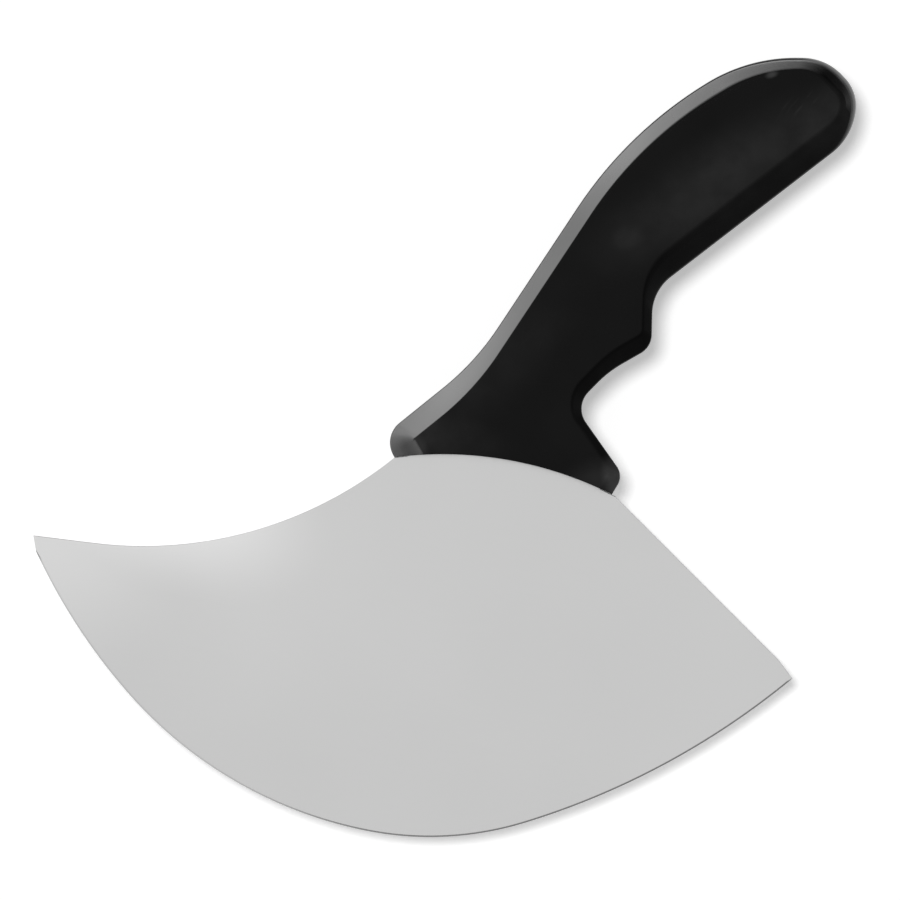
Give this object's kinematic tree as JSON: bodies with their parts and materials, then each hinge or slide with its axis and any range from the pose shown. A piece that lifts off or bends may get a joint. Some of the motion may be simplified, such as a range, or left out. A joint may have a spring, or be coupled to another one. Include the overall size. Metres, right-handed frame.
{
  "type": "pastry knife",
  "caption": "Pastry knife with a wide crescent blade, a long curved cutting edge and an angled moulded handle with a finger notch.",
  "frame": {"origin": "middle of the box round the whole knife; the blade's middle plane is Z = 0", "axes": "the knife lies flat: +X from the blade's toe to its heel along the line of the two tips, +Y from the cutting edge towards the handle's butt, +Z through the thickness"},
  "size_m": [0.2002, 0.2178, 0.022],
  "materials": {
    "blade_steel": "satin stainless steel with fine grinding lines",
    "core_plastic": "hard dark plastic, hidden inside the grip",
    "grip_plastic": "satin black moulded plastic"
  },
  "bodies": {
    "root": {"blade": "blade_steel", "handle_core": "core_plastic", "handle_grip": "grip_plastic"}
  },
  "joints": []
}
